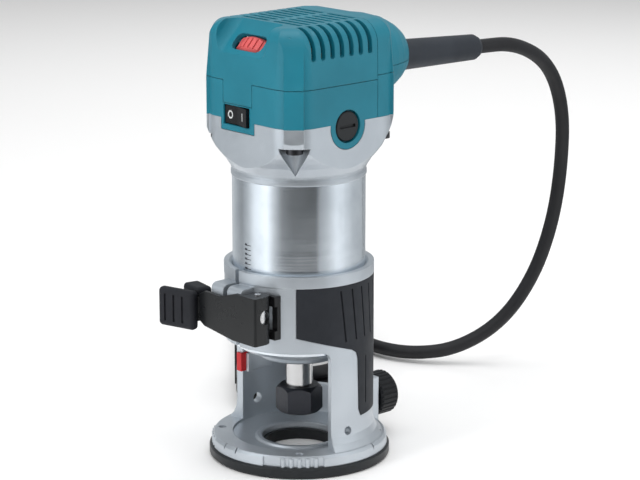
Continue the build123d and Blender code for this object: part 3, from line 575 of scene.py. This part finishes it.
# The free cord's route, the corners that part.py gives, in millimetres, after a start
# inside the guard.
ROUTE = [
    (0.0, 116.0, 189.8),
    (0.0, 123.7, 189.5),
    (0.0, 152.0, 188.4),
    (-3.0, 182.0, 174.0),
    (-8.0, 200.0, 146.0),
    (-13.0, 205.0, 111.0),
    (-17.0, 203.0, 79.0),
    (-23.0, 195.0, 49.0),
    (-33.0, 181.0, 24.0),
    (-49.0, 163.0, 9.0),
    (-66.5, 147.5, 5.2),
    (-88.0, 140.0, 5.0),
]
HANK_TURN = math.radians(138.0)     # direction of the hank from the spindle
HANK_NEAR = 85.75                   # centre of the near fold, mm from the spindle
HANK_FAR = 217.75
HANK_OUTER = 30.0
HANK_INNER = 22.5
HANK_FLOOR = 1.2                    # the tie lies under the hank
STEP = 7.5                          # rise from one layer to the next, mm
FOLD_COUNT = 6                      # control points in a fold
ENTRY = (182.0, 1.6, 0.2)           # where the cord joins: mm along, mm outside, mm above
ENTRY_NEXT = 200.0
PLUG_RISE = 9.5                     # plug's axis above the top layer
PLUG_END = [                        # mm along, share of the fold's radius, share of the rise
    (92, 1.0, 0.0),
    (104, 0.86, 0.25),
    (116, 0.45, 0.62),
    (127, 0.1, 0.95),
    (136, 0.0, 1.0),
    (146, 0.0, 1.0),
]


def hank_point(along, side, height):
    """A place in the hank: mm out from the spindle, mm to the side, and height."""
    ahead = Vector((math.cos(HANK_TURN), math.sin(HANK_TURN), 0.0))
    right = Vector((ahead.y, -ahead.x, 0.0))
    return ahead * along + right * side + UP * height


def fold(centre, radius, first, last, height):
    """Control points round one fold, from angle first to last in degrees."""
    points = []
    half_step = math.radians(abs(last - first)) / FOLD_COUNT / 2
    reach = radius / math.cos(half_step)
    for i in range(FOLD_COUNT):
        share = (i + 0.5) / FOLD_COUNT
        angle = math.radians(first + (last - first) * share)
        along = centre + reach * math.cos(angle)
        side = reach * math.sin(angle)
        points.append(hank_point(along, side, height))
    return points


def straight(side_from, side_to, start, end, z_from, z_to):
    """Control points along one long side, easing to the next turn's place."""
    points = []
    for share in (0.12, 0.38, 0.62, 0.88):
        along = start + (end - start) * share
        ease = share * share * (3 - 2 * share)
        side = side_from + (side_to - side_from) * ease
        points.append(hank_point(along, side, z_from + (z_to - z_from) * ease))
    return points


def hank_points():
    """Racetrack turns: out on the right side, round the far fold, back on the left."""
    level = HANK_FLOOR + CORD_D / MM / 2
    turns = [
        (HANK_OUTER, level),
        (HANK_INNER, level),
        (HANK_INNER, level + STEP),
        (HANK_OUTER, level + STEP),
        (HANK_INNER, level + 2 * STEP),
    ]
    along, outside, above = ENTRY
    points = [hank_point(along, HANK_OUTER + outside, level + above)]
    points.append(hank_point(ENTRY_NEXT, HANK_OUTER, level))
    for i, (radius, z) in enumerate(turns):
        points += fold(HANK_FAR, radius, 90, -90, z)
        points += straight(-radius, -radius, HANK_FAR, HANK_NEAR, z, z)
        points += fold(HANK_NEAR, radius, -90, -270, z)
        if i < len(turns) - 1:
            next_radius, next_z = turns[i + 1]
            points += straight(radius, next_radius, HANK_NEAR, HANK_FAR, z, next_z)
    plug_axis = HANK_FLOOR + 3 * STEP + PLUG_RISE
    for along, side, rise in PLUG_END:
        points.append(hank_point(along, radius * side, z + (plug_axis - z) * rise))
    return points


def nurbs_line(points):
    """Points of the smooth line through a route, read from its NURBS spline, in metres."""
    curve = bpy.data.curves.new("cord_line", "CURVE")
    curve.dimensions = "3D"
    spline = curve.splines.new("NURBS")
    spline.points.add(len(points) - 1)
    for target, point in zip(spline.points, points):
        target.co = (*(Vector(point) * MM), 1.0)
    spline.order_u = 3
    spline.use_endpoint_u = True
    spline.resolution_u = 8
    carrier = bpy.data.objects.new("cord_line", curve)
    bpy.context.scene.collection.objects.link(carrier)
    bpy.context.view_layer.update()
    mesh = bpy.data.meshes.new_from_object(carrier)
    line = [v.co.copy() for v in mesh.vertices]
    bpy.data.objects.remove(carrier)
    return line


def sweep_tube(name, line, radius, sides):
    """Closed round tube along a line, without twist."""
    vertices, faces = [], []
    side = None
    for i, point in enumerate(line):
        ahead = (line[min(i + 1, len(line) - 1)] - line[max(i - 1, 0)]).normalized()
        if side is None:
            side = ahead.orthogonal().normalized()
        side = (side - ahead * side.dot(ahead)).normalized()
        across = ahead.cross(side)
        for k in range(sides):
            angle = 2 * math.pi * k / sides
            vertices.append(point + radius * (math.cos(angle) * side + math.sin(angle) * across))
    for i in range(len(line) - 1):
        for k in range(sides):
            a = i * sides + k
            b = i * sides + (k + 1) % sides
            faces.append((a, b, b + sides, a + sides))
    faces.append(tuple(range(sides - 1, -1, -1)))
    last = (len(line) - 1) * sides
    faces.append(tuple(range(last, last + sides)))
    mesh = bpy.data.meshes.new(name)
    mesh.from_pydata([tuple(v) for v in vertices], [], faces)
    for polygon in mesh.polygons:
        polygon.use_smooth = len(polygon.vertices) == 4
    obj = bpy.data.objects.new(name, mesh)
    bpy.context.scene.collection.objects.link(obj)
    return obj


def make_cord(materials):
    """The mains cord as one tube from the guard to the plug, in place of its CAD solids."""
    line = nurbs_line(ROUTE + hank_points())
    cord = sweep_tube("mains_cord", line, CORD_D / 2, CORD_SIDES)
    cord.data.materials.append(materials["cord_rubber"])
    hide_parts("cord_tube", "cord_hank")
    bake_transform(cord)


# ------------------------------------------------------------------ the scene
make_camera()
make_world()
make_lights()
make_floor()
make_studio_wall()
materials = make_materials()
dress_cad_nodes(materials)
make_depth_scale(materials["scale_ink"])
make_rocker_marks(materials["white_ink"])
make_cord(materials)
